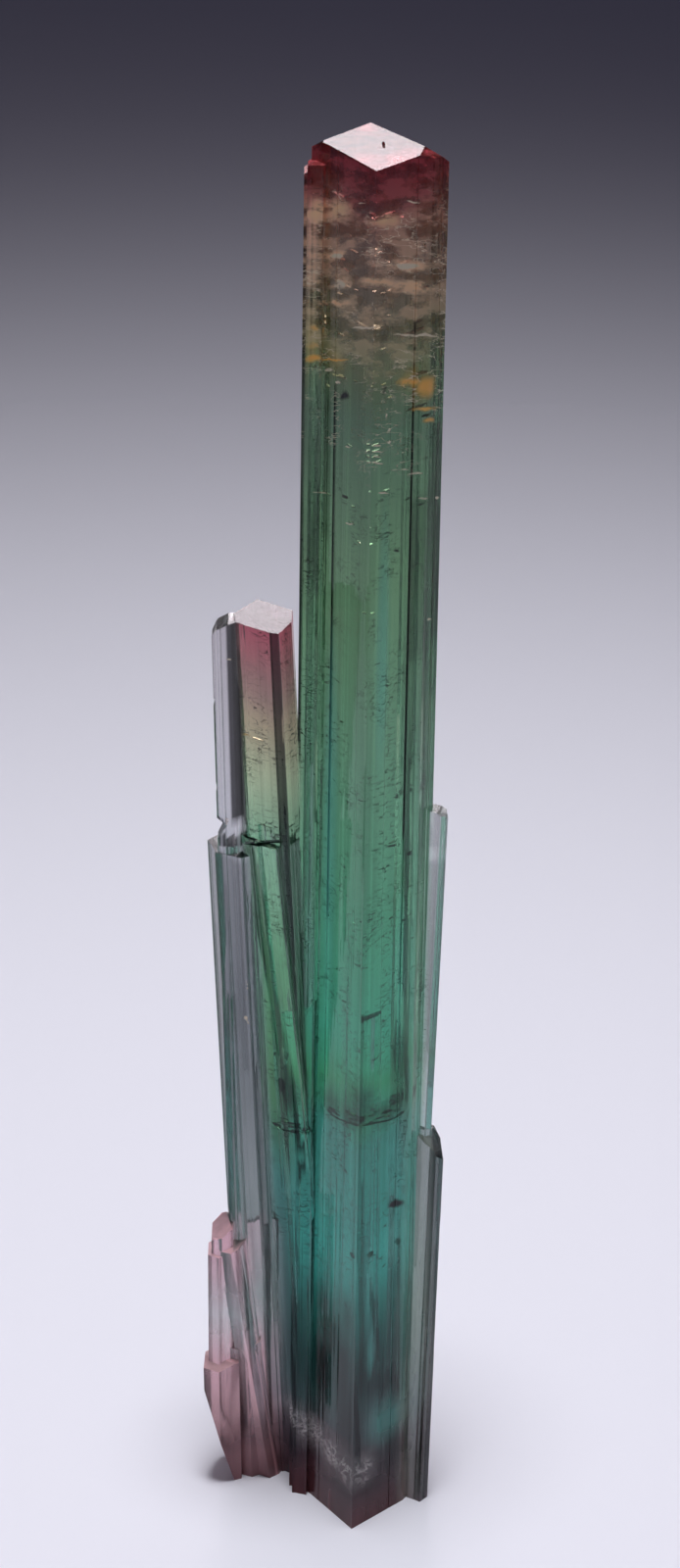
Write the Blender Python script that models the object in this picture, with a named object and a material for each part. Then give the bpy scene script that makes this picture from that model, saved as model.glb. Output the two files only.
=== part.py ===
"""Bicolor tourmaline crystal, in metres, +Z up.

A tall striated prism with shorter crystals grown along its sides, all fused into one solid.
It stands on the flat cut where it left the rock.
"""
import math
import random

import bmesh
import bpy
from mathutils import Matrix, Vector

NODE = "tourmaline"
COLLECTION = "bicolor_tourmaline_crystal"

# Every length below is in millimetres, and MM turns it into metres.
MM = 0.001

# Main crystal. While the cluster is put together, its axis is the line x = 0, y = 0.
HEIGHT = 56.0
MAIN_CORNERS = (
    (0.0, -2.2), (1.95, -0.3), (2.45, 0.45), (2.1, 1.45), (1.0, 2.15), (-0.3, 2.45),
    (-1.5, 1.9), (-2.15, 1.15), (-2.2, 0.6), (-1.62, 0.0), (-1.4, -0.3),
)

# Two ribs on the main crystal's left edge, ending just below its cap.
LEFT_RIB_TOP = HEIGHT - 0.75
LEFT_RIB_CORNERS = ((-0.25, -0.35), (0.3, -0.5), (0.6, 0.3), (0.0, 0.5), (-0.25, 0.2))
OUTER_RIB_TOP = HEIGHT - 1.15
OUTER_RIB_CORNERS = ((-0.2, -0.25), (0.3, -0.35), (0.5, 0.5), (-0.2, 0.3))

# Side crystal, left of the main one. It bends where it cracked and healed.
SIDE_TOP = 38.0
SIDE_BEND = 28.9
SIDE_UPPER_CORNERS = (
    (0.2, -1.2), (0.55, -1.3), (0.98, -0.45), (1.0, 0.35), (-0.27, 1.25), (-1.08, 0.28), (-1.0, -0.38),
)
SIDE_LOWER_CORNERS = (
    (0.25, -1.3), (0.85, -0.65), (1.1, 0.4), (0.2, 1.3), (-0.9, 0.9), (-1.05, -0.15), (-0.45, -0.85),
)

# Colourless plate on the side crystal's left.
PLATE_TOP = 37.8
PLATE_CORNERS = (
    (-0.35, -0.25), (-0.05, -0.45), (0.3, -0.4), (0.8, -0.1), (0.85, 0.4), (-0.1, 0.45), (-0.35, 0.2),
)

# Pale crystal low on the left.
PALE_TOP = 28.3
PALE_CORNERS = ((-0.8, -0.5), (0.15, -0.95), (1.3, -0.5), (1.1, 0.9), (-0.2, 1.25), (-1.1, 0.35))

# Pink crystals at the left foot, from the tallest to the shortest.
PINK_TOPS = (11.8, 11.0, 10.7, 6.6, 5.7)
PINK_CORNERS = (
    ((-0.35, -0.45), (0.05, -0.65), (0.45, -0.4), (0.5, 0.6), (0.0, 0.8), (-0.35, 0.5)),
    ((-0.5, -0.55), (0.0, -0.8), (0.35, -0.5), (0.8, 0.6), (0.0, 0.9), (-0.5, 0.5)),
    ((-0.4, -0.4), (0.0, -0.65), (0.5, -0.3), (0.5, 0.5), (-0.05, 0.7), (-0.4, 0.35)),
    ((-0.6, -0.5), (0.1, -0.75), (0.65, -0.45), (0.65, 0.6), (0.0, 0.9), (-0.6, 0.5)),
    ((-0.45, -0.45), (0.15, -0.75), (0.9, -0.4), (0.9, 0.5), (0.1, 0.7), (-0.4, 0.3)),
)

# Thin plate and slant-topped crystal on the right.
RIGHT_PLATE_TOP = 30.2
RIGHT_PLATE_CORNERS = (
    (-0.8, 0.2), (-0.1, -0.2), (0.2, -0.35), (0.45, -0.2), (0.4, 0.25), (-0.2, 0.5), (-0.8, 0.4),
)
RIGHT_TOP = 16.5
RIGHT_CORNERS = (
    (-0.8, 0.25), (-0.1, -0.2), (0.33, -0.45), (0.62, -0.1), (0.5, 0.6), (-0.1, 0.95), (-0.8, 0.5),
)

# Crystals on the back, from the tallest to the shortest.
BACK_TOPS = (33.0, 21.5, 11.5)
BACK_CORNERS = (
    ((-0.9, 0.0), (-0.3, -0.9), (0.7, -0.8), (1.0, 0.1), (0.5, 0.8), (-0.5, 0.85)),
    ((-0.95, 0.1), (-0.5, -0.9), (0.6, -0.8), (0.9, 0.0), (0.5, 0.75), (-0.4, 0.9)),
    ((-0.8, 0.0), (-0.4, -0.8), (0.5, -0.8), (0.85, 0.0), (0.35, 0.75), (-0.45, 0.7)),
)

# Vertical grooves: how far apart they run and how deep they cut into a face.
GROOVE_PITCH = 0.3
GROOVE_DEPTH = 0.05

# Each prism goes this far below the cut, so that the cut trims them all in one plane.
ROOT = 2.0
CUTTER_SIZE = 20.0


def crystal(name, corners, foot, tip, facets=()):
    """One crystal: corners around its axis, from foot (x, y at the cut) up to tip (x, y, z)."""
    return {"name": name, "corners": corners, "foot": foot, "tip": tip, "facets": facets}


# A facet is a point on it, from the tip, and the direction that it faces.
CRYSTALS = (
    crystal("main", MAIN_CORNERS, (0.0, 0.0), (0.0, 0.0, HEIGHT), facets=(
        ((1.6, 0.05, 0.0), (0.55, -0.1, 0.8)),
        ((1.6, 0.05, 0.0), (0.46, 0.42, 0.78)),
        ((-1.8, 0.41, 0.0), (-0.42, 0.4, 0.8)),
        ((-1.8, 0.41, 0.0), (-0.62, 0.05, 0.78)),
    )),
    crystal("left_rib", LEFT_RIB_CORNERS, (-2.08, 0.4), (-2.08, 0.4, LEFT_RIB_TOP), facets=(
        ((0.0, 0.0, 0.0), (-0.3, 0.1, 1.0)),
    )),
    crystal("outer_rib", OUTER_RIB_CORNERS, (-2.25, 0.75), (-2.25, 0.75, OUTER_RIB_TOP), facets=(
        ((0.0, 0.0, 0.0), (-0.5, -0.1, 1.0)),
    )),
    crystal("side_upper", SIDE_UPPER_CORNERS, (-1.75, 1.9), (-3.68, 0.3, SIDE_TOP)),
    crystal("side_lower", SIDE_LOWER_CORNERS, (-0.65, 1.9), (-3.4, 0.55, SIDE_BEND + 0.25), facets=(
        ((0.25, -1.3, 0.0), (-0.4, -0.5, 0.85)),
    )),
    crystal("left_plate", PLATE_CORNERS, (-4.15, 1.9), (-5.2, 0.4, PLATE_TOP), facets=(
        ((0.25, 0.0, 0.0), (-0.5, 0.0, 0.87)),
        ((-0.2, 0.0, -0.3), (-0.85, 0.0, 0.5)),
    )),
    crystal("pale", PALE_CORNERS, (-3.25, 2.2), (-4.6, 1.0, PALE_TOP), facets=(
        ((-0.7, 0.0, 0.0), (-0.05, -0.02, 1.0)),
    )),
    crystal("pink_tall", PINK_CORNERS[0], (-5.1, 1.6), (-5.14, 1.0, PINK_TOPS[0]), facets=(
        ((0.3, 0.0, 0.0), (-0.55, -0.1, 0.85)),
    )),
    crystal("pink_wedge", PINK_CORNERS[1], (-3.2, 1.75), (-4.75, 1.0, PINK_TOPS[1])),
    crystal("pink_middle", PINK_CORNERS[2], (-5.15, 1.45), (-5.22, 0.95, PINK_TOPS[2])),
    crystal("pink_fill", PINK_CORNERS[3], (-4.0, 1.75), (-4.25, 1.3, PINK_TOPS[3]), facets=(
        ((0.0, 0.0, 0.0), (-0.2, -0.4, 0.9)),
    )),
    crystal("pink_short", PINK_CORNERS[4], (-5.2, 1.3), (-5.33, 0.95, PINK_TOPS[4]), facets=(
        ((-0.2, 0.0, 0.0), (-0.15, -0.3, 0.9)),
    )),
    crystal("right_plate", RIGHT_PLATE_CORNERS, (1.85, 0.45), (2.56, 0.45, RIGHT_PLATE_TOP), facets=(
        ((0.1, 0.0, 0.0), (0.35, -0.1, 0.9)),
    )),
    crystal("right", RIGHT_CORNERS, (2.28, 0.05), (2.56, 0.05, RIGHT_TOP), facets=(
        ((-0.3, 0.0, 0.0), (0.35, -0.45, 0.82)),
        ((0.4, 0.0, -0.55), (0.8, -0.2, 0.5)),
    )),
    crystal("back_tall", BACK_CORNERS[0], (1.05, 1.75), (0.7, 1.0, BACK_TOPS[0]), facets=(
        ((0.0, 0.0, 0.0), (0.3, 0.5, 0.8)),
    )),
    crystal("back_left", BACK_CORNERS[1], (-1.2, 1.8), (-1.45, 1.95, BACK_TOPS[1]), facets=(
        ((0.0, 0.0, 0.0), (-0.2, 0.45, 0.85)),
    )),
    crystal("back_foot", BACK_CORNERS[2], (-3.1, 2.75), (-3.3, 2.7, BACK_TOPS[2]), facets=(
        ((0.0, 0.0, 0.0), (-0.35, 0.4, 0.85)),
    )),
)

# Blocks taken away: name, size, centre, and turn about X, Y and Z in degrees.
CUTS = (
    ("rock_cut", (CUTTER_SIZE, CUTTER_SIZE, CUTTER_SIZE), (0.0, 0.0, -CUTTER_SIZE / 2), (0, 0, 0)),
    ("foot_break", (4.0, 12.0, 9.0), (-7.05, 1.0, 1.5), (0, -15, 0)),
    ("bend_crack", (1.8, 1.2, 0.1), (-3.9, -0.55, SIDE_BEND + 0.15), (0, -20, -30)),
    ("plate_notch_high", (0.5, 3.0, 0.7), (-5.72, 0.3, 34.4), (0, 14, 0)),
    ("plate_notch_low", (0.5, 3.0, 0.6), (-5.6, 0.3, 31.1), (0, -12, 0)),
    ("plate_break", (0.6, 3.0, 1.2), (-5.5, 0.3, 29.1), (0, 28, 0)),
    ("cap_slit", (0.09, 0.55, 0.3), (0.22, 0.1, HEIGHT), (0, 0, 4)),
    ("shoulder_chip", (0.5, 0.8, 0.5), (-2.3, -0.1, HEIGHT - 0.25), (0, 35, 20)),
)

GREEN = (0.16, 0.42, 0.33, 1.0)
ROUGHNESS = 0.12
TOURMALINE_IOR = 1.63


def clear_scene():
    for item in list(bpy.data.objects):
        bpy.data.objects.remove(item, do_unlink=True)


def new_collection(name):
    made = bpy.data.collections.new(name)
    bpy.context.scene.collection.children.link(made)
    return made


def striated(corners, rng):
    """The outline with grooves: extra points along each side, set in by up to the groove depth."""
    outline = []
    for corner, following in zip(corners, corners[1:] + corners[:1]):
        start = Vector(corner)
        side = Vector(following) - start
        inward = Vector((-side.y, side.x)).normalized()
        steps = max(1, round(side.length / GROOVE_PITCH))
        outline.append(start)
        for k in range(1, steps):
            along = (k + rng.uniform(-0.3, 0.3)) / steps
            depth = rng.uniform(0.1, 1.0) * GROOVE_DEPTH
            outline.append(start + side * along + inward * depth)
    return outline


def cut_by_plane(bm, point, normal):
    """Takes away what lies beyond the plane, and closes the cut with a flat face."""
    geometry = bm.verts[:] + bm.edges[:] + bm.faces[:]
    cut = bmesh.ops.bisect_plane(
        bm, geom=geometry, dist=1e-7, plane_co=point, plane_no=normal, clear_outer=True)
    rim = [part for part in cut["geom_cut"] if isinstance(part, bmesh.types.BMEdge)]
    if rim:
        bmesh.ops.holes_fill(bm, edges=rim, sides=0)


def prism_mesh(spec, rng):
    """A grooved prism along its axis, from below the cut to its tip, with its end facets."""
    outline = striated(spec["corners"], rng)
    foot = Vector((*spec["foot"], 0.0))
    tip = Vector(spec["tip"])
    axis = tip - foot
    length = axis.length + ROOT
    bm = bmesh.new()
    bmesh.ops.create_cone(
        bm, cap_ends=True, segments=len(outline), radius1=1.0, radius2=1.0, depth=length)
    bm.verts.ensure_lookup_table()
    rings = (
        sorted((v for v in bm.verts if v.co.z < 0), key=lambda v: v.index),
        sorted((v for v in bm.verts if v.co.z > 0), key=lambda v: v.index),
    )
    for ring, level in zip(rings, (-length, 0.0)):
        for vert, point in zip(ring, outline):
            vert.co = (point.x, point.y, level)
    for point, normal in spec["facets"]:
        cut_by_plane(bm, Vector(point), Vector(normal).normalized())
    lean = Vector((0.0, 0.0, 1.0)).rotation_difference(axis).to_matrix().to_4x4()
    bmesh.ops.transform(
        bm, matrix=Matrix.Scale(MM, 4) @ Matrix.Translation(tip) @ lean, verts=bm.verts)
    bmesh.ops.recalc_face_normals(bm, faces=bm.faces)
    mesh = bpy.data.meshes.new(spec["name"])
    bm.to_mesh(mesh)
    bm.free()
    return mesh


def block_mesh(name, size, turn):
    bm = bmesh.new()
    bmesh.ops.create_cube(bm, size=1.0)
    bmesh.ops.scale(bm, vec=Vector(size) * MM, verts=bm.verts)
    for degrees, axis in zip(turn, "XYZ"):
        spin = Matrix.Rotation(math.radians(degrees), 3, axis)
        bmesh.ops.rotate(bm, matrix=spin, verts=bm.verts)
    mesh = bpy.data.meshes.new(name)
    bm.to_mesh(mesh)
    bm.free()
    return mesh


def tourmaline_material():
    material = bpy.data.materials.new("tourmaline_green")
    material.use_nodes = True
    shader = material.node_tree.nodes["Principled BSDF"]
    shader.inputs["Base Color"].default_value = GREEN
    shader.inputs["Roughness"].default_value = ROUGHNESS
    shader.inputs["Metallic"].default_value = 0.0
    shader.inputs["IOR"].default_value = TOURMALINE_IOR
    shader.inputs["Transmission Weight"].default_value = 1.0
    return material


def add_object(name, mesh, collection, parent):
    made = bpy.data.objects.new(name, mesh)
    collection.objects.link(made)
    made.parent = parent
    return made


def combine(target, other, operation):
    modifier = target.modifiers.new(other.name, "BOOLEAN")
    modifier.operation = operation
    modifier.solver = "EXACT"
    modifier.object = other
    other.display_type = "WIRE"
    other.hide_render = True


def centre_on_base(target, cluster):
    """Moves the cluster so that the origin is the middle of its box, at the base."""
    graph = bpy.context.evaluated_depsgraph_get()
    mesh = target.evaluated_get(graph).to_mesh()
    xs = [vert.co.x for vert in mesh.vertices]
    ys = [vert.co.y for vert in mesh.vertices]
    cluster.location = (-(min(xs) + max(xs)) / 2, -(min(ys) + max(ys)) / 2, 0.0)
    target.evaluated_get(graph).to_mesh_clear()


def main():
    clear_scene()
    parts = new_collection(COLLECTION)
    cutters = new_collection("cutters")
    rng = random.Random(7)
    cluster = bpy.data.objects.new("cluster", None)
    parts.objects.link(cluster)
    first, *others = CRYSTALS
    target = add_object(NODE, prism_mesh(first, rng), parts, cluster)
    target.data.materials.append(tourmaline_material())
    for spec in others:
        grown = add_object(spec["name"], prism_mesh(spec, rng), cutters, cluster)
        combine(target, grown, "UNION")
    for name, size, place, turn in CUTS:
        block = add_object(name, block_mesh(name, size, turn), cutters, cluster)
        block.location = Vector(place) * MM
        combine(target, block, "DIFFERENCE")
    bpy.context.view_layer.update()
    centre_on_base(target, cluster)
    bpy.context.view_layer.update()


main()
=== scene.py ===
"""Looks of the bicolor tourmaline crystal: growth relief, colour zones, inner cracks, light."""
import math
import random

import bmesh
import bpy
import numpy as np
from mathutils import Matrix, Vector


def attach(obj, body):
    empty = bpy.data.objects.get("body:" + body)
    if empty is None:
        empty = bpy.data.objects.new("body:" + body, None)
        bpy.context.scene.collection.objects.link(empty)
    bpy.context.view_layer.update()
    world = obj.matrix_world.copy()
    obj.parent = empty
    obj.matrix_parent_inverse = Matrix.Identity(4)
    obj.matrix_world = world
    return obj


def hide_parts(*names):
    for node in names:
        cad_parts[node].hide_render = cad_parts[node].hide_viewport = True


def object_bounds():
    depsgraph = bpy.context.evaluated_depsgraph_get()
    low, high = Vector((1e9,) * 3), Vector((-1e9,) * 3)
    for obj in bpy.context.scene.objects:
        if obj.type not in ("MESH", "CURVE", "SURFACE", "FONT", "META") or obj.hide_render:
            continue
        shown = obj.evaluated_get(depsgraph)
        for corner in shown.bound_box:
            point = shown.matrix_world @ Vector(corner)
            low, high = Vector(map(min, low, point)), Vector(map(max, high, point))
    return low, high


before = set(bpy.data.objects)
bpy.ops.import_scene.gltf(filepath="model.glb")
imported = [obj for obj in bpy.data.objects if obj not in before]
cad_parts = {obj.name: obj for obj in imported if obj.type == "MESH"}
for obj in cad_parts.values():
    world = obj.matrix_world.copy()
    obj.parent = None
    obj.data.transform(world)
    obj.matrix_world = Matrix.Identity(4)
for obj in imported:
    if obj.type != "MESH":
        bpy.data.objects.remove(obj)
cad_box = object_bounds()

MM = 0.001
SEED = 11

# ---- sizes, in millimetres
# Where the main crystal's axis stands, around which the cluster is put together.
MAIN_AXIS = (1.306, -0.65)

HEIGHT = 56
SIDE_TOP = 38
SIDE_BEND = 28.9
# How far the prisms reach below the cut foot, and the block that cuts them there.
ROOT = 2
CUTTER_SIZE = 20

FAMILIES = ("main", "side", "pale", "pink")
AT_TIP = (0, 0, 0)


def crystal(name, family, foot, tip, grain=1, corners=(), facets=(), seams=(), bands=()):
    """One crystal, from foot (x, y at the cut) up to tip (x, y, z), with corners round its axis.

    grain is how coarse its striae are. facets cut its end: a point of each plane, seen from the
    tip, and its outward normal. seams are thin grooves (side, place along it, depth). bands are
    painted darker, lighter or milkier: mostly painted shade, painted dark reflections and painted
    edge highlights, a few dark growth lines (side, from, to, shade, frost, then from and to which
    height if not all).
    """
    return dict(name=name, family=family, foot=foot, tip=tip, grain=grain, corners=corners,
                facets=facets, seams=seams, bands=bands)


def whole(side, shade, frost, *span):
    """A band as wide as its side."""
    return (side, 0, 1, shade, frost, *span)


# Their bands are mostly painted shade and painted light along faces and edges.
CRYSTALS = (
    crystal("main", "main", (0, 0), (0, 0, HEIGHT), grain=0.35,
        corners=((0, -2.2), (1.95, -0.3), (2.45, 0.45), (2.1, 1.45), (1, 2.15), (-0.3, 2.45),
            (-1.5, 1.9), (-2.15, 1.15), (-2.2, 0.6), (-1.62, 0), (-1.4, -0.3)),
        facets=(((1.6, 0.05, 0), (0.55, -0.1, 0.8)), ((1.6, 0.05, 0), (0.46, 0.42, 0.78)),
            ((-1.8, 0.41, 0), (-0.42, 0.4, 0.8)), ((-1.8, 0.41, 0), (-0.62, 0.05, 0.78))),
        seams=((0, 0.72, 0.14), (10, 0.07, 0.12), (1, 0.55, 0.08), (8, 0.5, 0.1), (5, 0.4, 0.1),
            (3, 0.6, 0.1)),
        bands=(whole(8, 0.9, 0), whole(9, 0.95, 0), whole(8, 0.5, 0, 41, 47),
            whole(9, 0.5, 0, 41, 47), (0, 0.735, 1, 0.35, 0, 36.5, 43.5),
            (1, 0, 0.5, 0.4, 0.04, 37, 44), (1, 0.5, 1, 0.25, 0.06, 37, 46),
            (10, 0.058, 0.082, 0.02, 0.9, 26, 47.5), (0, 0.71, 0.73, 0.02, 0.9, 29.5, 51.5),
            (0, 0.735, 1, 0.9, 0, 0, 36.5), whole(1, 1.2, 0.1, 0, 37))),
    crystal("left_rib", "main", (-2.08, 0.4), (-2.08, 0.4, HEIGHT - 0.75),
        corners=((-0.25, -0.35), (0.3, -0.5), (0.6, 0.3), (0, 0.5), (-0.25, 0.2)),
        facets=((AT_TIP, (-0.3, 0.1, 1)),),
        bands=((0, 0, 0.08, 0.04, 0.6, 20, HEIGHT), (0, 0.1, 0.24, 1.8, 0.4, 22, 54),
            (0, 0.26, 0.36, 0.3, 0.2, 22, 54), (0, 0.38, 0.6, 1.6, 0.3, 26, 54),
            (0, 0.7, 1, 0.6, 0, 30, 53))),
    crystal("outer_rib", "main", (-2.25, 0.75), (-2.25, 0.75, HEIGHT - 1.15),
        corners=((-0.2, -0.25), (0.3, -0.35), (0.5, 0.5), (-0.2, 0.3)),
        facets=((AT_TIP, (-0.5, -0.1, 1)),),
        bands=((0, 0, 0.2, 0.04, 0.6, 28, HEIGHT), (0, 0.3, 0.75, 2, 0.5, 28, 54))),
    crystal("side_upper", "side", (-1.75, 1.9), (-3.68, 0.3, SIDE_TOP),
        corners=((0.2, -1.2), (0.55, -1.3), (0.98, -0.45), (1, 0.35), (-0.27, 1.25), (-1.08, 0.28),
            (-1, -0.38)),
        seams=((0, 0.1, 0.08), (1, 0, 0.08)),
        bands=(whole(0, 0.05, 0.1), whole(5, 0.04, 0), (6, 0, 0.05, 0.04, 0),
            (1, 0, 0.35, 0.95, 0.15), (1, 0.35, 1, 0.5, 0))),
    crystal("side_lower", "side", (-0.65, 1.9), (-3.4, 0.55, SIDE_BEND + 0.25),
        corners=((0.25, -1.3), (0.85, -0.65), (1.1, 0.4), (0.2, 1.3), (-0.9, 0.9), (-1.05, -0.15),
            (-0.45, -0.85)),
        facets=(((0.25, -1.3, 0), (-0.4, -0.5, 0.85)),),
        seams=((6, 0, 0.08), (0, 0.1, 0.1), (5, 0.5, 0.06)),
        bands=((0, 0.8, 1, 1, 0), whole(1, 0.8, 0))),
    crystal("left_plate", "pale", (-4.15, 1.9), (-5.2, 0.4, 37.8),
        corners=((-0.35, -0.25), (-0.05, -0.45), (0.3, -0.4), (0.8, -0.1), (0.85, 0.4),
            (-0.1, 0.45), (-0.35, 0.2)),
        facets=(((0.25, 0, 0), (-0.5, 0, 0.87)), ((-0.2, 0, -0.3), (-0.85, 0, 0.5))),
        seams=((1, 0, 0.05), (2, 0, 0.05)),
        bands=(whole(2, 0.03, 0.1, 29.8, HEIGHT), (1, 0.75, 1, 0.03, 0.1, 29.8, HEIGHT),
            whole(6, 0.3, 0))),
    crystal("pale", "pale", (-3.25, 2.2), (-4.6, 1, 28.3), grain=2.4,
        corners=((-0.8, -0.5), (0.15, -0.95), (1.3, -0.5), (1.1, 0.9), (-0.2, 1.25), (-1.1, 0.35)),
        facets=(((-0.7, 0, 0), (-0.05, -0.02, 1)),),
        seams=((0, 0.45, 0.07), (1, 0.3, 0.07)),
        bands=(whole(5, 0.5, 0), (0, 0, 0.12, 0.4, 0), (1, 0.35, 0.8, 0.6, 0, 12, 28))),
    crystal("pink_tall", "pink", (-5.1, 1.6), (-5.14, 1, 11.8), grain=0.35,
        corners=((-0.35, -0.45), (0.05, -0.65), (0.45, -0.4), (0.5, 0.6), (0, 0.8), (-0.35, 0.5)),
        facets=(((0.3, 0, 0), (-0.55, -0.1, 0.85)),)),
    crystal("pink_wedge", "pink", (-3.2, 1.75), (-4.75, 1, 11), grain=0.35,
        corners=((-0.5, -0.55), (0, -0.8), (0.35, -0.5), (0.8, 0.6), (0, 0.9), (-0.5, 0.5))),
    crystal("pink_middle", "pink", (-5.15, 1.45), (-5.22, 0.95, 10.7), grain=0.35,
        corners=((-0.4, -0.4), (0, -0.65), (0.5, -0.3), (0.5, 0.5), (-0.05, 0.7), (-0.4, 0.35))),
    crystal("pink_fill", "pink", (-4, 1.75), (-4.25, 1.3, 6.6), grain=0.35,
        corners=((-0.6, -0.5), (0.1, -0.75), (0.65, -0.45), (0.65, 0.6), (0, 0.9), (-0.6, 0.5)),
        facets=((AT_TIP, (-0.2, -0.4, 0.9)),)),
    crystal("pink_short", "pink", (-5.2, 1.3), (-5.33, 0.95, 5.7), grain=0.35,
        corners=((-0.45, -0.45), (0.15, -0.75), (0.9, -0.4), (0.9, 0.5), (0.1, 0.7), (-0.4, 0.3)),
        facets=(((-0.2, 0, 0), (-0.15, -0.3, 0.9)),)),
    crystal("right_plate", "pale", (1.85, 0.45), (2.56, 0.45, 30.2), grain=0.6,
        corners=((-0.8, 0.2), (-0.1, -0.2), (0.2, -0.35), (0.45, -0.2), (0.4, 0.25), (-0.2, 0.5),
            (-0.8, 0.4)),
        facets=(((0.1, 0, 0), (0.35, -0.1, 0.9)),),
        bands=(whole(0, 1.5, 0.14), whole(1, 1.5, 0.14), whole(2, 1.5, 0.1), whole(3, 1.2, 0.1),
            *(whole(side, 1.5, 0.14, 16, 28.2) for side in range(4)),
            *(whole(side, 2.1, 0, 10, 28.2) for side in (4, 5)))),
    crystal("right", "pale", (2.28, 0.05), (2.56, 0.05, 16.5),
        corners=((-0.8, 0.25), (-0.1, -0.2), (0.33, -0.45), (0.62, -0.1), (0.5, 0.6), (-0.1, 0.95),
            (-0.8, 0.5)),
        facets=(((-0.3, 0, 0), (0.35, -0.45, 0.82)), ((0.4, 0, -0.55), (0.8, -0.2, 0.5))),
        seams=((1, 0.5, 0.06),),
        bands=(whole(0, 0.9, 0), (1, 0, 0.45, 1.3, 0.2), (1, 0.5, 1, 0.35, 0), whole(2, 0.3, 0),
            whole(3, 0.3, 0))),
    crystal("back_tall", "main", (1.05, 1.75), (0.7, 1, 33),
        corners=((-0.9, 0), (-0.3, -0.9), (0.7, -0.8), (1, 0.1), (0.5, 0.8), (-0.5, 0.85)),
        facets=((AT_TIP, (0.3, 0.5, 0.8)),)),
    crystal("back_left", "main", (-1.2, 1.8), (-1.45, 1.95, 21.5),
        corners=((-0.95, 0.1), (-0.5, -0.9), (0.6, -0.8), (0.9, 0), (0.5, 0.75), (-0.4, 0.9)),
        facets=((AT_TIP, (-0.2, 0.45, 0.85)),)),
    crystal("back_foot", "pink", (-3.1, 2.75), (-3.3, 2.7, 11.5),
        corners=((-0.8, 0), (-0.4, -0.8), (0.5, -0.8), (0.85, 0), (0.35, 0.75), (-0.45, 0.7)),
        facets=((AT_TIP, (-0.35, 0.4, 0.85)),)),
)

# Blocks that are cut away: name, size, middle, and turn about X, Y and Z in degrees.
CUTS = (
    ("rock_cut", (CUTTER_SIZE,) * 3, (0, 0, -CUTTER_SIZE / 2), (0, 0, 0)),
    ("foot_break", (4, 12, 9), (-7.05, 1, 1.5), (0, -15, 0)),
    ("bend_crack", (1.8, 1.2, 0.1), (-3.9, -0.55, SIDE_BEND + 0.15), (0, -20, -30)),
    ("plate_notch_high", (0.5, 3, 0.7), (-5.72, 0.3, 34.4), (0, 14, 0)),
    ("plate_notch_low", (0.5, 3, 0.6), (-5.6, 0.3, 31.1), (0, -12, 0)),
    ("plate_break", (0.6, 3, 1.2), (-5.5, 0.3, 29.1), (0, 28, 0)),
    ("cap_slit", (0.09, 0.55, 0.3), (0.22, 0.1, HEIGHT), (0, 0, 4)),
    ("shoulder_chip", (0.5, 0.8, 0.5), (-2.3, -0.1, HEIGHT - 0.25), (0, 35, 20)),
)

# Cracks are thin gaps, flat over this share and with an uneven rim of so many corners.
CRACK_THICKNESS = 0.03
CRACK_FLAT = 0.8
CRACK_CORNERS = 11
CRACK_UNEVENNESS = (0.72, 1.12)
# The two wide fractures: middle, half length and depth, and how many small gaps are within.
FRACTURES = (
    ("main_fracture", (0.25, -0.45, 17.9), (1.4, 0.85), 26),
    ("side_fracture", (-2.35, 0.95, 16.5), (0.8, 0.95), 16),
)
# Their open rim: width, steps, start and length in half turns, and how far it weaves.
FRACTURE_RIM = 0.32
FRACTURE_STEPS = 36
FRACTURE_ARC = (0.97, 1.06)
FRACTURE_WAVE = 0.03
# The gaps within: reach, size, and how uneven and tilted they lie.
GAP_REACH = 0.8
GAP_SIZES = (0.15, 0.5)
GAP_RISE = 0.05
GAP_TILT = 5
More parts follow.
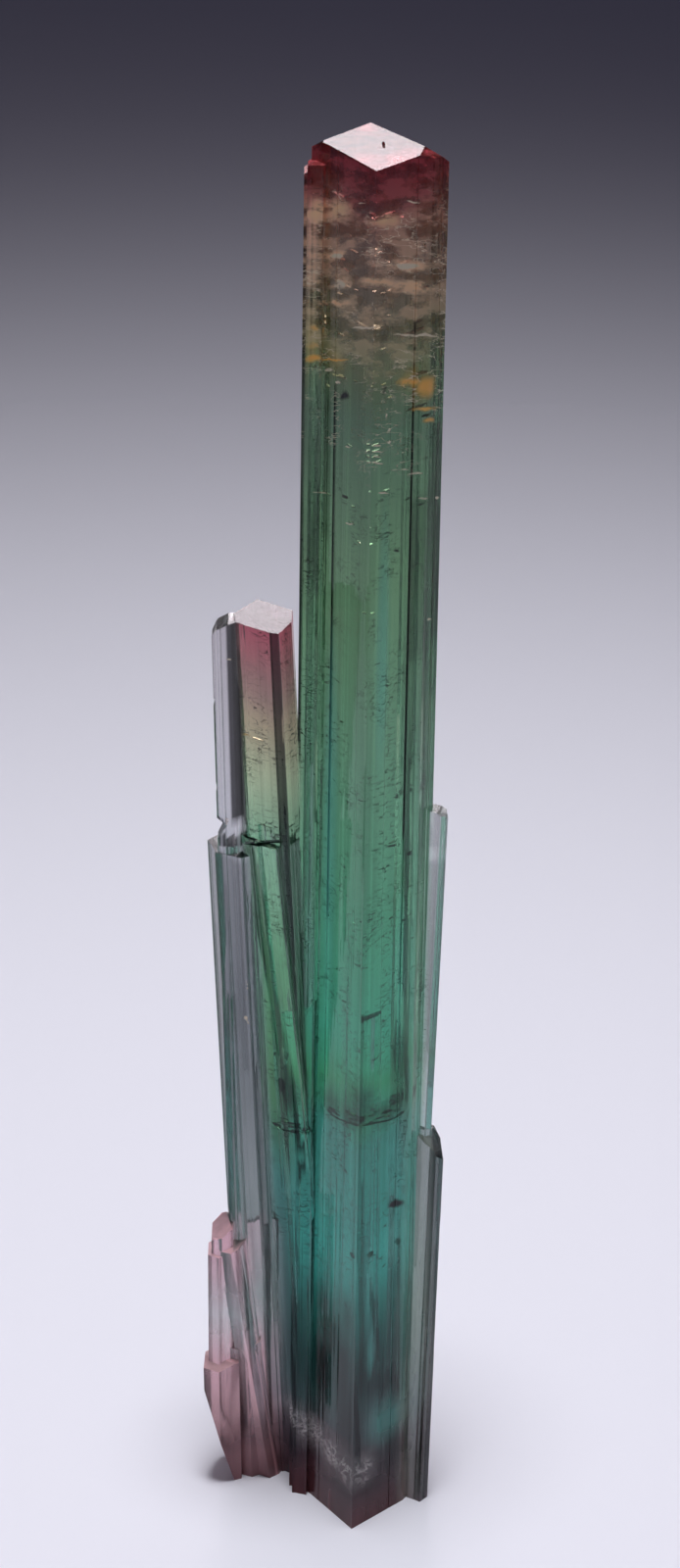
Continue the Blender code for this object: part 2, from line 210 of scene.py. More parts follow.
# Placed cracks, just behind a face: x, y, z of the front rim, width, depth, turn about X, Y.
PLACED_CRACKS = (
    (-1.25, -0.2, 54.3, 0.9, 0.5, 0, 0.4), (0.45, -1.55, 54.2, 0.6, 0.5, 0, 0.4),
    (-1.2, -0.38, 52.05, 0.6, 0.55, -0.6, 2), (-1, -0.6, 51.75, 0.5, 0.4, 0.6, 2),
    (-1.05, -0.6, 51.15, 0.55, 0.6, -0.9, 2), (-1.2, -0.4, 50.75, 0.4, 0.35, 0.9, -1.6),
    (-0.7, -1.05, 52.6, 0.5, 0.35, 0, 0), (1.05, -1, 52.2, 0.8, 0.5, 0.6, -1),
    (1.35, -0.7, 51.8, 0.5, 0.4, -0.9, 1.2), (0.55, -1.5, 51.4, 0.4, 0.35, 0.9, 1.6),
    (1.7, -0.3, 51, 0.4, 0.4, 0, -1.2), (1.35, -0.65, 49.5, 1.4, 0.45, 0.3, -0.4),
    (-0.35, -1.5, 50.1, 1.2, 0.4, 0.3, -0.6), (-1.75, 0.55, 50, 0.6, 0.5, 1.2, 0),
    (-1.75, 0.5, 49.3, 0.6, 0.6, -0.9, 0.8), (-1.8, 0.5, 48.7, 0.5, 0.5, 0.9, -1.6),
    (-1.75, 0.45, 48.1, 0.7, 0.6, 0.6, -0.8), (-1.2, -0.3, 48.3, 1.2, 0.3, 0, 0),
    (-1.1, -0.5, 47.7, 0.5, 0.6, -1.5, 2), (1.65, -0.2, 47.75, 0.6, 0.7, -2, -2),
    (1.75, -0.15, 47.4, 0.8, 0.8, -1.5, 1), (1.8, -0.1, 47, 0.7, 0.7, 1.2, 1.6),
    (1.5, -0.5, 46.6, 1.2, 0.4, 0, 0.2), (1.85, -0.05, 46.1, 0.5, 0.5, -1.2, 1.2),
    (0.1, -1.85, 45.8, 0.5, 0.25, 0, 0), (0.12, -1.85, 45.57, 0.5, 0.25, 0, 0.4),
    (0.1, -1.85, 45.35, 0.45, 0.25, 0, -0.4), (0.15, -1.8, 45.12, 0.5, 0.25, 0, 0),
    (-0.75, -1, 45.35, 0.35, 0.25, 0, 1), (-1.5, 0, 43, 0.6, 0.3, 0, -0.8),
    (0.55, -1.5, 43.9, 0.4, 0.3, 0.6, 0.6), (-0.6, -1.15, 42.45, 0.4, 0.25, 0.9, 0.6),
    (-0.35, -1.5, 41.9, 0.3, 0.25, 0.9, -0.8), (-0.1, -1.8, 39.3, 0.25, 0.25, 0, 0),
    (-4.55, -0.08, 33.5, 0.9, 0.4, 0.6, 1.2), (-4, -0.4, 33.35, 0.6, 0.4, 0.6, -0.8),
    (-4.6, 0, 34.9, 0.35, 0.35, 0, -2), (1, -1.05, 29.7, 0.5, 0.2, 0.6, 0),
    (1.6, -0.45, 28.95, 0.4, 0.2, 0, 0.8),
)
# How far the main crystal's two front faces are turned aside, in degrees.
LEFT_TURN, RIGHT_TURN = -53.6, 44.3
# Scattered ones: name, middle (x, y), count, lowest, highest, reach, size, lean in degrees.
SCATTERED = (
    ("glint", (0, 0.1), 36, 46.5, 54, 1.8, 0.5, 1.5),
    ("hairline", (0.2, 0.2), 10, 22, 45, 1.7, 0.4, 10),
    ("lower_line", (0.3, 0.2), 7, 5, 16.5, 1.6, 0.5, 25),
)
# How far they are warped: within a fracture, placed and scattered.
GAP_WARP, PLACED_WARP, LOOSE_WARP = 0.02, 0.004, 0.01

# Marks near the faces: how crisp they are, then x, y, z, half width and half height of each.
MARKS = {
    "tan": (1.3, ((-1.3, -0.42, 53.8, 1, 0.5), (0.32, -1.88, 54.1, 0.8, 0.4),
        (-1.3, -0.4, 52.15, 0.9, 0.26), (-1.19, -0.58, 51.17, 1, 0.4),
        (1.08, -1.14, 52.15, 1.2, 0.3), (-1.3, -0.4, 50.4, 0.9, 0.2), (1.3, -0.9, 51.3, 1.3, 0.34),
        (0.2, -2, 51.9, 1, 0.16), (-2, 0.1, 53.5, 0.4, 0.7))),
    # Painted highlights: glints where cracks catch the light.
    "painted_glint": (3, ((-0.37, -1.7, 50.06, 0.9, 0.05), (1.47, -0.77, 49.42, 1.4, 0.05),
        (-1.5, -0.2, 47.8, 0.35, 0.08), (-1.15, -0.6, 47.55, 0.3, 0.07),
        (0, -2.2, 50.6, 0.035, 1.6), (0.21, -2, 45.81, 0.34, 0.035), (0.21, -2, 45.58, 0.34, 0.035),
        (0.18, -2.02, 45.37, 0.3, 0.035), (0.22, -1.99, 45.13, 0.32, 0.035),
        (-0.84, -1.06, 45.34, 0.25, 0.04), (1, -1.23, 44.52, 0.45, 0.045),
        (1.48, -0.76, 44.19, 0.4, 0.045), (2.12, -0.14, 44.39, 0.2, 0.14),
        (-0.66, -1.31, 42.46, 0.25, 0.045), (-0.41, -1.65, 41.88, 0.19, 0.045),
        (-1.7, 0.11, 42.99, 0.44, 0.035), (0.51, -1.71, 43.88, 0.25, 0.04),
        (2.33, 0.26, 42.81, 0.24, 0.09), (2.22, -0.03, 38.16, 0.22, 0.06),
        (0.39, -1.82, 46.84, 0.08, 0.15), (-1.3, -0.42, 52.15, 0.4, 0.12),
        (-1.19, -0.6, 51.17, 0.42, 0.18), (1.08, -1.14, 52.15, 0.6, 0.13),
        (0.53, -1.68, 46.22, 0.08, 0.15), (0.64, -1.57, 45.72, 0.08, 0.12),
        (1.77, -0.47, 43.12, 0.25, 0.04), (-1.84, 0.3, 36.89, 0.13, 0.07),
        (-0.4, -1.65, 54.6, 0.3, 0.04), (1.2, -1, 54.4, 0.5, 0.04),
        (-4.66, -0.09, 33.92, 0.2, 0.06), (-4.59, -0.14, 34.82, 0.1, 0.08),
        (-4.88, 0.06, 36.36, 0.18, 0.04), (-4.45, 0.6, 24, 0.1, 0.9), (-4.3, 0.35, 22, 0.08, 1.2),
        (-3.6, 0.2, 19.5, 0.07, 2))),
    # Iron-stained cracks with a painted gold glint on them.
    "gold_stain_and_glint": (1.5, ((-1.98, 0.19, 49.17, 0.3, 0.28), (-2.11, 0.25, 48.52, 0.3, 0.26),
        (-1.93, 0.16, 48.05, 0.4, 0.16), (-1.36, -0.36, 48.26, 0.92, 0.05),
        (1.9, -0.35, 47.3, 0.7, 0.5), (1.2, -1, 47.75, 0.7, 0.22), (1.85, -0.4, 46.5, 0.9, 0.12),
        (1.98, -0.27, 46, 0.4, 0.14), (-4.48, -0.22, 33.46, 0.5, 0.08),
        (-3.88, -0.63, 33.4, 0.32, 0.07))),
    "dark": (2, ((-0.93, -0.93, 47.21, 0.26, 0.26), (0.96, -1.27, 41.45, 0.16, 0.06),
        (1.44, -0.8, 14.03, 0.4, 0.24), (1, -1.22, 29.67, 0.32, 0.06),
        (1.61, -0.63, 28.93, 0.24, 0.06), (-2.53, 0.3, 1.2, 0.15, 0.6),
        (-3.25, 0.5, 7.07, 0.3, 0.5), (0.45, -1.8, 47.7, 0.2, 0.5))),
}
# Inner layers and marks slant: they rise by this much for each millimetre forwards.
SLANT = 0.45
# Broad soft marks, given in the same way but level.
SOFT_MARKS = {
    "veil": ((-2.3, 0.3, 3.4, 1.2, 0.8), (-1.5, -0.2, 3.1, 1.2, 0.9), (-0.8, -1.1, 2.8, 1.2, 1),
        (-0.2, -1.9, 2.6, 1.1, 1), (0.4, -1.8, 2.5, 0.9, 0.9)),
    # Painted shade near the foot and along the two fractures.
    "shadow": ((-0.44, -1.6, 7, 0.7, 2.2), (-1.2, -0.5, 6.3, 0.9, 2.6), (-1.2, -0.5, 9.3, 0.6, 1.2),
        (-2.3, 0.3, 6.3, 0.9, 3), (-3.1, 0.4, 6.6, 0.7, 2.6), (-0.3, -1.8, 9.5, 0.5, 1),
        (0.9, -1.3, 6.2, 1.2, 0.8), (-1.2, -0.5, 4.2, 0.9, 1.2), (-0.3, -1.8, 18.7, 0.8, 0.7),
        (0.7, -1.5, 18.4, 1.2, 0.5), (-2.7, 0.1, 18.6, 0.7, 1.8), (-3.6, 0.4, 7.3, 0.35, 1.2),
        (-0.3, -1.9, 5, 1, 2.6), (0.5, -1.7, 7.4, 1.2, 1.6), (0, -2, 19.3, 0.9, 1.2)),
    # Stronger painted shade at the same places.
    "deep_shade": ((-0.44, -1.6, 6.6, 0.8, 2.6), (-1.2, -0.5, 6, 0.9, 2.2), (0, -2, 18.4, 0.6, 0.5),
        (1.2, -1.1, 18.2, 1, 0.45), (-2.6, 0, 18.2, 0.6, 1.2), (0.3, -1.9, 6.6, 0.9, 1.2),
        (-0.4, -1.6, 18.2, 0.7, 0.6), (-1, -0.8, 18.4, 0.8, 0.9), (-0.8, -1.1, 8.2, 0.5, 1.6),
        (-0.3, -1.8, 4.8, 0.7, 1.8)),
    "amber": ((1.75, -0.5, 47.4, 0.9, 0.75), (1.25, -0.95, 47.9, 0.7, 0.5),
        (-2, 0.2, 48.8, 0.5, 1.1), (-1.3, -0.4, 48.3, 1, 0.5)),
    "mist": ((2.1, -0.1, 22, 0.9, 14), (2.1, -0.1, 8, 0.9, 12)),
    # Painted grey shade along the side edges and at the front.
    "dusk": ((-2.1, 0.2, 45.2, 1, 3.6), (-2.1, 0.2, 41, 0.5, 4), (2.3, 0.1, 43, 0.5, 5),
        (2.05, -0.2, 35, 0.7, 7), (0.4, -1.9, 49.8, 0.35, 1.6)),
    "etch": ((0.9, -1.35, 34.5, 0.4, 3.5), (0.8, -1.4, 24.5, 0.35, 3), (-3.8, -0.3, 34.5, 0.6, 2.4),
        (-3.4, -0.4, 28, 0.4, 0.9), (-0.7, -1.2, 33.5, 0.3, 1.2)),
    # Painted light: lighter patches where more light comes through.
    "glow": ((1.3, -0.95, 4.3, 1.4, 1.5), (0.6, -1.6, 7.9, 0.25, 1.3), (1.4, -0.85, 16, 0.6, 2.5),
        (1.4, -0.85, 24, 0.6, 4), (0.45, -1.7, 11.5, 0.3, 3), (1.3, -0.9, 12.5, 0.5, 1.5),
        (-1.2, -0.5, 30, 0.5, 9), (0.5, -1.7, 38, 0.4, 6)),
}

# Slanted boundaries on the front, as (x, z) upwards: a painted light strip between painted dark
# ones on the lower side crystal, and the right edge of the pink part.
STRIP_LEFT = ((-2.1, 15), (-3.86, 28.7))
STRIP_RIGHT = ((-1.7, 15), (-3.15, 28.7))
STRIP_SHADES = (0.22, 1.5, 0.2)
PINK_EDGE = ((-1.9, 0), (-2.84, 3), (-3.55, 4.6), (-4.1, 6.4), (-4.65, 12.5))
PINK_EDGE_WIDTH = 0.2
# Points with a smaller y than this are on the front.
FRONT = 0.75

# ---- crystal meshes
# Growth relief: spacing and depth of the striae, and spacing of the levels.
STRIA_PITCH = 0.1
STRIA_DEPTH = 0.018
LEVEL_PITCH = 0.5
# How far a stria may be off its place, how often the depth changes there, and how much.
STRIA_JITTER = 0.35
STEP_CHANCE = 0.45
STEP_SHARES = (0.15, 0.6)
FIRST_SHARES = (0, 0.4)
# Half the width of a seam, and how wide around it there are no striae.
SEAM_WIDTH = 0.02
SEAM_CLEARANCE = 1.3
# Ledges: height, less where the grain is finer than SMOOTH_GRAIN, how much surface there is for
# each, and how many striae wide they are.
LEDGE_HEIGHT = 0.012
SMOOTH_GRAIN = 0.7
LEDGE_AREA = 90
LEDGE_WIDTHS = (1, 1, 2, 2, 3, 5)


def sides(corners):
    """The number, start and end of each side of a closed outline."""
    return enumerate(zip(corners, corners[1:] + corners[:1]))


def ring_points(spec, rng):
    """Points round the outline, each with its inward direction and depth."""
    spots, inwards, depths = [], [], []
    for side, (corner, following) in sides(spec["corners"]):
        start = np.array(corner)
        run = np.array(following) - start
        length = np.linalg.norm(run)
        inward = np.array((-run[1], run[0])) / length
        steps = max(2, round(length / STRIA_PITCH))
        level = rng.uniform(*FIRST_SHARES)
        marks = []
        for k in range(steps):
            along = (k + (rng.uniform(-STRIA_JITTER, STRIA_JITTER) if k else 0)) / steps
            if rng.random() < STEP_CHANCE:
                level += rng.choice((-1, 1)) * rng.uniform(*STEP_SHARES)
                level = min(1, max(0, level))
            marks.append((along, level * STRIA_DEPTH * spec["grain"] if k else 0))
        half = SEAM_WIDTH / length
        for place, depth in [(t, d) for s, t, d in spec["seams"] if s == side]:
            marks = [mark for mark in marks
                     if mark[0] == 0 or abs(mark[0] - place) > SEAM_CLEARANCE * half]
            seam = ((place - half, 0), (place, depth), (place + half, 0))
            marks += [mark for mark in seam if 0 < mark[0] < 1]
        for along, depth in sorted(marks):
            spots.append(start + run * along)
            inwards.append(inward)
            depths.append(depth)
    return np.array(spots), np.array(inwards), np.array(depths)


# Stripes of each family: number per millimetre round the outline, darkest shade, which share is
# milky instead, and how milky.
STRIPES = {"main": (1.2, 0.85, 0.2, 0.06), "side": (2, 0.6, 0.3, 0.15),
           "pale": (6, 0.12, 0.45, 0.7), "pink": (1.5, 0.85, 0.6, 0.4)}
# Half width in millimetres, and start and length as shares of the height.
STRIPE_HALVES = (0.02, 0.09)
STRIPE_STARTS = (-0.3, 0.7)
STRIPE_LENGTHS = (0.25, 0.9)
# Lightest shade of a dark one, shade of a milky one, and shares of its frost.
LIGHTEST_SHADE = 0.95
MILKY_SHADE = 1.6
MILKY_SHARES = (0.4, 1)


def stripes(spec, rng):
    """Fine upright stripes: side, from, to, lowest and highest level, shade, frost."""
    density, darkest, milky, frost = STRIPES[spec["family"]]
    top = spec["tip"][2]
    made = []
    for side, first, last, shade, veil, *span in spec["bands"]:
        made.append((side, first, last, *(span or (0, HEIGHT)), shade, veil))
    for side, (corner, following) in sides(spec["corners"]):
        length = math.dist(corner, following)
        for _ in range(round(length * density)):
            middle = rng.random()
            half = rng.uniform(*STRIPE_HALVES) / length
            low = rng.uniform(*STRIPE_STARTS) * top
            high = low + rng.uniform(*STRIPE_LENGTHS) * top
            if rng.random() < milky:
                shade, veil = MILKY_SHADE, frost * rng.uniform(*MILKY_SHARES)
            else:
                shade, veil = rng.uniform(darkest, LIGHTEST_SHADE), 0
            made.append((side, middle - half, middle + half, low, high, shade, veil))
    return made


def ledges(count, length, relief, rng):
    """Long low ledges: where in the ring, how wide, from and to which level, how deep."""
    made = []
    for _ in range(int(length * count / LEDGE_AREA)):
        first = rng.randrange(count)
        width = rng.choice(LEDGE_WIDTHS)
        low = rng.uniform(-length, 0)
        high = low + rng.uniform(1, 0.35 * length)
        made.append((first, width, low, high, rng.uniform(0.3, 1) * relief))
    return made


def finished(bm, name):
    """The bmesh as a mesh."""
    mesh = bpy.data.meshes.new(name)
    bm.to_mesh(mesh)
    bm.free()
    return mesh


def prism_mesh(spec, rng):
    """The crystal as a closed grid of striae and levels, cut by its facets, in place."""
    spots, inwards, depths = ring_points(spec, rng)
    spec["stripes"] = stripes(spec, rng)
    count = len(spots)
    foot = Vector((*spec["foot"], 0))
    tip = Vector(spec["tip"])
    axis = tip - foot
    length = axis.length + ROOT
    levels = np.linspace(-length, 0, max(4, round(length / LEVEL_PITCH)) + 1)
    relief = np.tile(depths, (len(levels), 1))
    ledge = LEDGE_HEIGHT * min(1, spec["grain"] / SMOOTH_GRAIN)
    for first, width, low, high, depth in ledges(count, length, ledge, rng):
        rows = (levels > low) & (levels < high)
        columns = [(first + k) % count for k in range(width)]
        relief[np.ix_(rows, columns)] += depth
    bm = bmesh.new()
    rings = []
    for level, row in zip(levels, relief):
        outline = spots + inwards * row[:, None]
        rings.append([bm.verts.new((x, y, level)) for x, y in outline])
    skin(bm, rings)
    bm.faces.new(rings[0][::-1])
    bm.faces.new(rings[-1])
    for point, normal in spec["facets"]:
        cut = bmesh.ops.bisect_plane(
            bm, geom=bm.verts[:] + bm.edges[:] + bm.faces[:], dist=1e-6,
            plane_co=Vector(point), plane_no=Vector(normal), clear_outer=True)
        rim = [part for part in cut["geom_cut"] if isinstance(part, bmesh.types.BMEdge)]
        bmesh.ops.holes_fill(bm, edges=rim, sides=0)
    lean = Vector((0, 0, 1)).rotation_difference(axis).to_matrix().to_4x4()
    spec["to_world"] = Matrix.Translation(tip) @ lean
    bmesh.ops.transform(bm, matrix=spec["to_world"], verts=bm.verts)
    bmesh.ops.recalc_face_normals(bm, faces=bm.faces)
    return finished(bm, spec["name"])


def skin(bm, rings):
    """Faces between each ring of points and the next."""
    count = len(rings[0])
    for lower, upper in zip(rings, rings[1:]):
        for k in range(count):
            m = (k + 1) % count
            bm.faces.new((lower[k], lower[m], upper[m], upper[k]))


def set_down(bm, turn, place):
    """Turns all points about X, Y and Z, in degrees, then moves them to place."""
    for degrees, axis in zip(turn, "XYZ"):
        bmesh.ops.rotate(bm, matrix=Matrix.Rotation(math.radians(degrees), 3, axis), verts=bm.verts)
    bmesh.ops.translate(bm, vec=Vector(place), verts=bm.verts)


def block_mesh(name, size, place, turn):
    bm = bmesh.new()
    bmesh.ops.create_cube(bm, size=1)
    bmesh.ops.scale(bm, vec=Vector(size), verts=bm.verts)
    set_down(bm, turn, place)
    return finished(bm, name)


def crack_mesh(name, outline, place, turn, warp, rng):
    """A thin closed lens of a given outline, flat before it is turned."""
    bm = bmesh.new()
    phase = rng.uniform(0, 6.28)

    def point(x, y, lift=0):
        height = warp * math.sin(2.1 * x + phase) * math.cos(1.7 * y + 2 * phase)
        return bm.verts.new((x, y, height + lift))

    rim = [point(x, y) for x, y in outline]
    count = len(outline)
    for side in (1, -1):
        lift = side * CRACK_THICKNESS / 2
        ring = [point(x * CRACK_FLAT, y * CRACK_FLAT, lift) for x, y in outline]
        middle = point(0, 0, lift)
        for k in range(count):
            m = (k + 1) % count
            for loop in ((rim[k], rim[m], ring[m], ring[k]), (ring[k], ring[m], middle)):
                bm.faces.new(loop if side > 0 else loop[::-1])
    set_down(bm, turn, place)
    return finished(bm, name)


def rim_mesh(name, middle, reach, rng):
    """The open front rim of a fracture: a thin level arc with an uneven edge."""
    bm = bmesh.new()
    rise = Vector((0, 0, CRACK_THICKNESS / 2))
    loops = []
    for k in range(FRACTURE_STEPS + 1):
        angle = math.pi * (FRACTURE_ARC[0] + FRACTURE_ARC[1] * k / FRACTURE_STEPS)
        outward = Vector((math.cos(angle), math.sin(angle), 0))
        wide = 1 - rng.uniform(0, 0.05)
        edge = Vector(middle) + Vector((
            reach[0] * outward.x * wide, reach[1] * outward.y * wide,
            FRACTURE_WAVE * math.sin(3 * angle)))
        inward = -outward * (FRACTURE_RIM * rng.uniform(0.5, 1))
        loops.append([bm.verts.new(edge + offset) for offset in (
            Vector(), inward / 2 + rise, inward, inward / 2 - rise)])
    skin(bm, loops)
    bm.faces.new(loops[0])
    bm.faces.new(loops[-1])
    bmesh.ops.recalc_face_normals(bm, faces=bm.faces)
    return finished(bm, name)


def ragged_outline(width, depth, rng):
    """An irregular closed outline, about width by depth."""
    points = []
    for k in range(CRACK_CORNERS):
        angle = math.tau * k / CRACK_CORNERS
        reach = rng.uniform(*CRACK_UNEVENNESS)
        points.append((0.5 * width * reach * math.cos(angle),
                       0.5 * depth * reach * math.sin(angle)))
    return points


def crack_meshes(rng):
    """All cracks: those of the two wide fractures, the placed and the scattered ones."""
    made = []
    for name, middle, reach, gaps in FRACTURES:
        made.append(rim_mesh(name, middle, reach, rng))
        for k in range(gaps):
            angle = rng.uniform(0, math.tau)
            radius = GAP_REACH * math.sqrt(rng.uniform(0, 1))
            place = Vector(middle) + Vector((
                radius * reach[0] * math.cos(angle), radius * reach[1] * math.sin(angle),
                rng.uniform(-GAP_RISE, GAP_RISE)))
            size = rng.uniform(*GAP_SIZES)
            outline = ragged_outline(size, size * rng.uniform(0.4, 0.8), rng)
            turn = (rng.gauss(0, GAP_TILT), rng.gauss(0, GAP_TILT), 0)
            made.append(crack_mesh("%s_%02d" % (name, k), outline, place, turn, GAP_WARP, rng))
    for k, (x, y, z, width, depth, tilt, roll) in enumerate(PLACED_CRACKS):
        outline = ragged_outline(width, depth, rng)
        turn = (tilt, roll, LEFT_TURN if x < 0 else RIGHT_TURN)
        inward = Matrix.Rotation(math.radians(turn[2]), 3, "Z") @ Vector((0, 0.5 * depth, 0))
        place = Vector((x, y, z)) + inward
        made.append(crack_mesh("crack_%02d" % k, outline, place, turn, PLACED_WARP, rng))
    for name, middle, count, low, high, reach, size, lean in SCATTERED:
        for k in range(count):
            angle = rng.uniform(0, math.tau)
            radius = reach * math.sqrt(rng.uniform(0.1, 1))
            z = rng.uniform(low, high)
            place = (middle[0] + radius * math.cos(angle), middle[1] + radius * math.sin(angle), z)
            turn = (rng.gauss(0, lean), rng.gauss(0, lean), rng.uniform(0, 180))
            width = rng.uniform(0.5, 1) * size
            outline = ragged_outline(width, width * rng.uniform(0.4, 0.9), rng)
            made.append(crack_mesh("%s_%02d" % (name, k), outline, place, turn, LOOSE_WARP, rng))
    return made


def add_object(name, data):
    made = bpy.data.objects.new(name, data)
    bpy.context.scene.collection.objects.link(made)
    return made


def fused(name, meshes, cutters):
    """The meshes joined and the cutters taken away, as one closed mesh in millimetres."""
    target = add_object(name, meshes[0])
    helpers = []
    for operation, group in (("UNION", meshes[1:]), ("DIFFERENCE", cutters)):
        for mesh in group:
            helper = add_object(mesh.name, mesh)
            helpers.append(helper)
            modifier = target.modifiers.new(mesh.name, "BOOLEAN")
            modifier.operation = operation
            modifier.solver = "MANIFOLD"
            modifier.object = helper
    graph = bpy.context.evaluated_depsgraph_get()
    result = bpy.data.meshes.new_from_object(target.evaluated_get(graph))
    for helper in helpers + [target]:
        bpy.data.objects.remove(helper, do_unlink=True)
    return result


# ---- marks on the mesh
FAR = 1e9
# How many times the height above a crystal's tip counts as distance.
ABOVE_TIP = 5
# How near a side a point gets its stripes, and how softly families meet.
NEAR_SIDE = 0.25
FAMILY_BLEND = 0.12


def coordinates(mesh):
    """The points of a mesh, one in each row."""
    places = np.empty(len(mesh.vertices) * 3)
    mesh.vertices.foreach_get("co", places)
    return places.reshape(-1, 3)


def nearest_side(points, corners):
    """The distance to a closed outline, the nearest side and the place along it."""
    gaps, places = [], []
    for _, (corner, following) in sides(corners):
        start = np.array(corner)
        run = np.array(following) - start
        along = np.clip((points - start) @ run / (run @ run), 0, 1)
        gaps.append(np.linalg.norm(points - start - along[:, None] * run, axis=1))
        places.append(along)
    gaps, places = np.array(gaps), np.array(places)
    side = gaps.argmin(axis=0)
    row = np.arange(len(points))
    return gaps[side, row], side, places[side, row]


def line_at(levels, line):
    """The x of a slanted boundary at each level."""
    across, up = zip(*line)
    return np.interp(levels, up, across)


def strip_shade(places):
    """The painted shade of the lower side crystal's front: a painted light strip between dark ones.
    """
    x, y, z = places.T
    shade = np.where(x < line_at(z, STRIP_LEFT), STRIP_SHADES[0],
                     np.where(x < line_at(z, STRIP_RIGHT), STRIP_SHADES[1], STRIP_SHADES[2]))
    return np.where((y < FRONT) & (z > STRIP_LEFT[0][1]), shade, 1)


def own_marks(places, spec):
    """How far each point is from one crystal, and its shade and frost there."""
    homogeneous = np.column_stack((places, np.ones(len(places))))
    local = homogeneous @ np.array(spec["to_world"].inverted()).T
    gap, side, along = nearest_side(local[:, :2], spec["corners"])
    gap = gap + np.maximum(local[:, 2], 0) * ABOVE_TIP
    level = places[:, 2]
    shade = np.ones(len(places))
    frost = np.zeros(len(places))
    for edge, first, last, low, high, dark, milk in spec["stripes"]:
        inside = ((side == edge) & (along >= first) & (along <= last)
                  & (level > low) & (level < high))
        shade[inside] *= dark
        frost[inside] = np.maximum(frost[inside], milk)
    if spec["name"] == "side_lower":
        shade *= strip_shade(places)
    on_side = gap < NEAR_SIDE
    return gap, np.where(on_side, shade, 1), np.where(on_side, frost, 0)


def family_weights(places, gaps):
    """How much each point belongs to each family. The pink one ends at a slanted edge."""
    stacked = np.column_stack([gaps[family] for family in FAMILIES])
    weights = np.exp(-np.minimum(stacked / FAMILY_BLEND, 5) ** 2) + 1e-12
    weights[places[:, 2] > HEIGHT - 0.01] = (1, 0, 0, 0)
    weights = weights / weights.sum(axis=1, keepdims=True)
    beyond = (places[:, 0] - line_at(places[:, 2], PINK_EDGE)) / PINK_EDGE_WIDTH
    beyond = np.clip(beyond, 0, 1) * (places[:, 1] < FRONT)
    pale, pink = FAMILIES.index("pale"), FAMILIES.index("pink")
    weights[:, pale] += weights[:, pink] * beyond
    weights[:, pink] *= 1 - beyond
    return dict(zip(FAMILIES, weights.T))


def mark_surface(mesh):
    """Writes each point's share of each family, its shade, frost and soft marks."""
    places = coordinates(mesh)
    count = len(places)
    gaps = {family: np.full(count, FAR) for family in FAMILIES}
    nearest, shade, frost = np.full(count, FAR), np.ones(count), np.zeros(count)
    for spec in CRYSTALS:
        gap, own_shade, own_frost = own_marks(places, spec)
        gaps[spec["family"]] = np.minimum(gaps[spec["family"]], gap)
        shade = np.where(gap < nearest, own_shade, shade)
        frost = np.where(gap < nearest, own_frost, frost)
        nearest = np.minimum(nearest, gap)
    columns = family_weights(places, gaps)
    columns.update(shade=shade, frost=frost)
    for name, marks in SOFT_MARKS.items():
        marks = np.array(marks)
        offsets = (places[:, None, :] - marks[None, :, :3]) / marks[None, :, (3, 3, 4)]
        reach = np.linalg.norm(offsets, axis=2).min(axis=1)
        columns[name] = np.clip(1.5 - 1.5 * reach, 0, 1)
    for name, column in columns.items():
        attribute = mesh.attributes.new(name, "FLOAT", "POINT")
        attribute.data.foreach_set("value", np.ascontiguousarray(column, dtype=np.float32))


def into_frame(mesh):
    """Millimetres round the main axis become metres in the frame, inside the CAD box."""
    places = (coordinates(mesh) + (*MAIN_AXIS, 0)) * MM
    mesh.vertices.foreach_set("co", np.clip(places, cad_box[0], cad_box[1]).ravel())
    mesh.update()


# ---- materials
def linear(tone):
    """A colour written as rrggbb, or a grey level, in linear light."""
    if isinstance(tone, str):
        channels = [int(tone[k:k + 2], 16) / 255 for k in (0, 2, 4)]
        return (*(c / 12.92 if c <= 0.04045 else ((c + 0.055) / 1.055) ** 2.4
                  for c in channels), 1)
    return (tone, tone, tone, 1)


